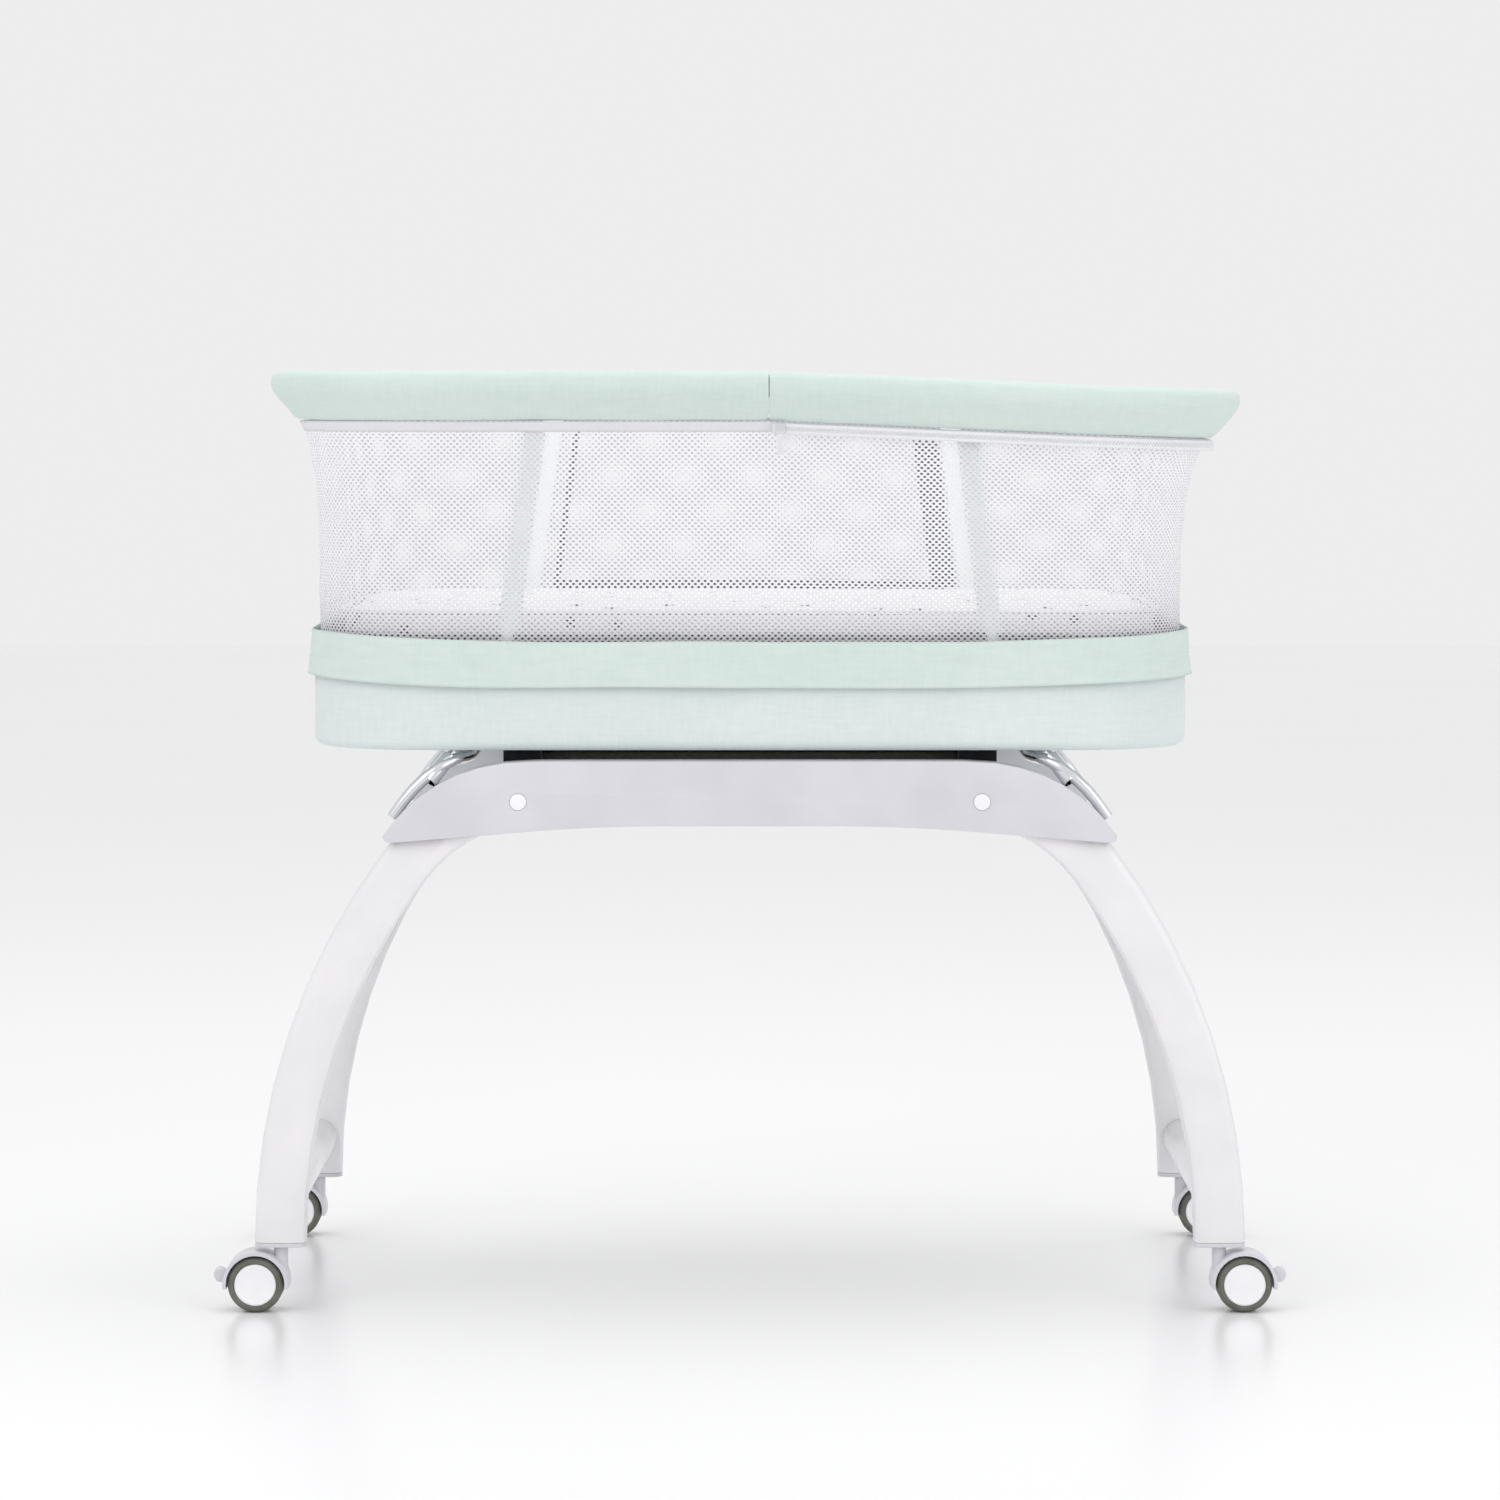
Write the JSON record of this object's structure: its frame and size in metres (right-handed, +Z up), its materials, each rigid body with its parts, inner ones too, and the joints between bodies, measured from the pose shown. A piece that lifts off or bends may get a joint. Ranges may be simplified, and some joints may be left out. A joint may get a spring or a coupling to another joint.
{
  "type": "bassinet on stand",
  "caption": "Mesh-sided fabric bassinet with a padded rim and mattress, carried on a bow-legged white stand with twin-wheel swivel casters.",
  "frame": {"origin": "on the floor, under the middle of the stand", "axes": "+X to the foot end, where the rim falls; -Y to the front, which has the zip; +Z up"},
  "size_m": [1.027, 0.606, 0.8976],
  "materials": {
    "moulded_white": "white moulded plastic, satin",
    "painted_tube": "white powder-coated steel tube",
    "bright_tube": "bright plated tube",
    "bare_steel": "plain steel tube and wire",
    "black_rubber": "ribbed black rubber",
    "dark_board": "dark board",
    "grey_tyre": "grey soft tread with white hub discs",
    "heathered_mint": "heathered pale mint woven fabric",
    "plain_mint": "plain pale mint woven fabric",
    "white_net": "white knitted net",
    "white_tape": "white woven zip tape",
    "printed_sheet": "off-white cotton with small grey stars"
  },
  "bodies": {
    "stand": {"front_beam_cover": "moulded_white", "front_beam_liner": "moulded_white", "front_left_screw_cap": "moulded_white", "front_left_leg_plug": "moulded_white", "front_left_leg": "painted_tube", "front_left_saddle": "black_rubber", "front_right_screw_cap": "moulded_white", "front_right_leg_plug": "moulded_white", "front_right_leg": "painted_tube", "front_right_saddle": "black_rubber", "rear_beam_cover": "moulded_white", "rear_beam_liner": "moulded_white", "rear_left_screw_cap": "moulded_white", "rear_left_leg_plug": "moulded_white", "rear_left_leg": "painted_tube", "rear_left_saddle": "black_rubber", "rear_right_screw_cap": "moulded_white", "rear_right_leg_plug": "moulded_white", "rear_right_leg": "painted_tube", "rear_right_saddle": "black_rubber", "left_lower_cross_bar": "painted_tube", "left_upper_rail": "bare_steel", "left_carrier_hoop": "bright_tube", "right_lower_cross_bar": "painted_tube", "right_upper_rail": "bare_steel", "right_carrier_hoop": "bright_tube", "stand_deck": "dark_board"},
    "bassinet": {"front_left_post": "plain_mint", "front_right_post": "plain_mint", "front_net": "white_net", "front_rim_connector": "moulded_white", "rear_left_post": "plain_mint", "rear_right_post": "plain_mint", "rear_net": "white_net", "rear_rim_connector": "moulded_white", "head_net": "white_net", "head_rim_cover": "plain_mint", "head_rim_tube": "bare_steel", "foot_net": "white_net", "foot_rim_cover": "plain_mint", "foot_rim_tube": "bare_steel", "tray_cover": "heathered_mint", "tray_cuff": "plain_mint", "base_frame": "bare_steel", "support_board": "dark_board", "mattress": "printed_sheet", "zip_tape": "white_tape"},
    "zip_pull": {"zip_slider": "bright_tube"},
    "front_left_caster": {"front_left_caster_body": "moulded_white"},
    "front_left_wheels": {"front_left_twin_wheels": "grey_tyre"},
    "front_left_brake": {"front_left_brake_lever": "moulded_white"},
    "front_right_caster": {"front_right_caster_body": "moulded_white"},
    "front_right_wheels": {"front_right_twin_wheels": "grey_tyre"},
    "front_right_brake": {"front_right_brake_lever": "moulded_white"},
    "rear_left_caster": {"rear_left_caster_body": "moulded_white"},
    "rear_left_wheels": {"rear_left_twin_wheels": "grey_tyre"},
    "rear_left_brake": {"rear_left_brake_lever": "moulded_white"},
    "rear_right_caster": {"rear_right_caster_body": "moulded_white"},
    "rear_right_wheels": {"rear_right_twin_wheels": "grey_tyre"},
    "rear_right_brake": {"rear_right_brake_lever": "moulded_white"}
  },
  "joints": [
    {"name": "bassinet_lift", "type": "slide", "parent": "stand", "child": "bassinet", "axis": [0, 0, 1], "range_m": [0, 0.15]},
    {"name": "zip_slide", "type": "slide", "parent": "bassinet", "child": "zip_pull", "axis": [0.9991, 0, -0.0432], "range_m": [0, 0.24]},
    {"name": "front_left_swivel", "type": "hinge", "parent": "stand", "child": "front_left_caster", "pos_m": [-0.449, -0.255, 0.06], "axis": [0, 0, 1], "continuous": true},
    {"name": "front_left_wheel_spin", "type": "hinge", "parent": "front_left_caster", "child": "front_left_wheels", "pos_m": [-0.4725, -0.255, 0.0266], "axis": [0, 1, 0], "continuous": true},
    {"name": "front_left_brake_press", "type": "hinge", "parent": "front_left_caster", "child": "front_left_brake", "pos_m": [-0.5015, -0.255, 0.0296], "axis": [0, -1, 0], "range_deg": [0, 18]},
    {"name": "front_right_swivel", "type": "hinge", "parent": "stand", "child": "front_right_caster", "pos_m": [0.449, -0.255, 0.06], "axis": [0, 0, 1], "continuous": true},
    {"name": "front_right_wheel_spin", "type": "hinge", "parent": "front_right_caster", "child": "front_right_wheels", "pos_m": [0.4725, -0.255, 0.0266], "axis": [0, 1, 0], "continuous": true},
    {"name": "front_right_brake_press", "type": "hinge", "parent": "front_right_caster", "child": "front_right_brake", "pos_m": [0.5015, -0.255, 0.0296], "axis": [0, 1, 0], "range_deg": [0, 18]},
    {"name": "rear_left_swivel", "type": "hinge", "parent": "stand", "child": "rear_left_caster", "pos_m": [-0.449, 0.255, 0.06], "axis": [0, 0, 1], "continuous": true},
    {"name": "rear_left_wheel_spin", "type": "hinge", "parent": "rear_left_caster", "child": "rear_left_wheels", "pos_m": [-0.4725, 0.255, 0.0266], "axis": [0, 1, 0], "continuous": true},
    {"name": "rear_left_brake_press", "type": "hinge", "parent": "rear_left_caster", "child": "rear_left_brake", "pos_m": [-0.5015, 0.255, 0.0296], "axis": [0, -1, 0], "range_deg": [0, 18]},
    {"name": "rear_right_swivel", "type": "hinge", "parent": "stand", "child": "rear_right_caster", "pos_m": [0.449, 0.255, 0.06], "axis": [0, 0, 1], "continuous": true},
    {"name": "rear_right_wheel_spin", "type": "hinge", "parent": "rear_right_caster", "child": "rear_right_wheels", "pos_m": [0.4725, 0.255, 0.0266], "axis": [0, 1, 0], "continuous": true},
    {"name": "rear_right_brake_press", "type": "hinge", "parent": "rear_right_caster", "child": "rear_right_brake", "pos_m": [0.5015, 0.255, 0.0296], "axis": [0, 1, 0], "range_deg": [0, 18]}
  ]
}
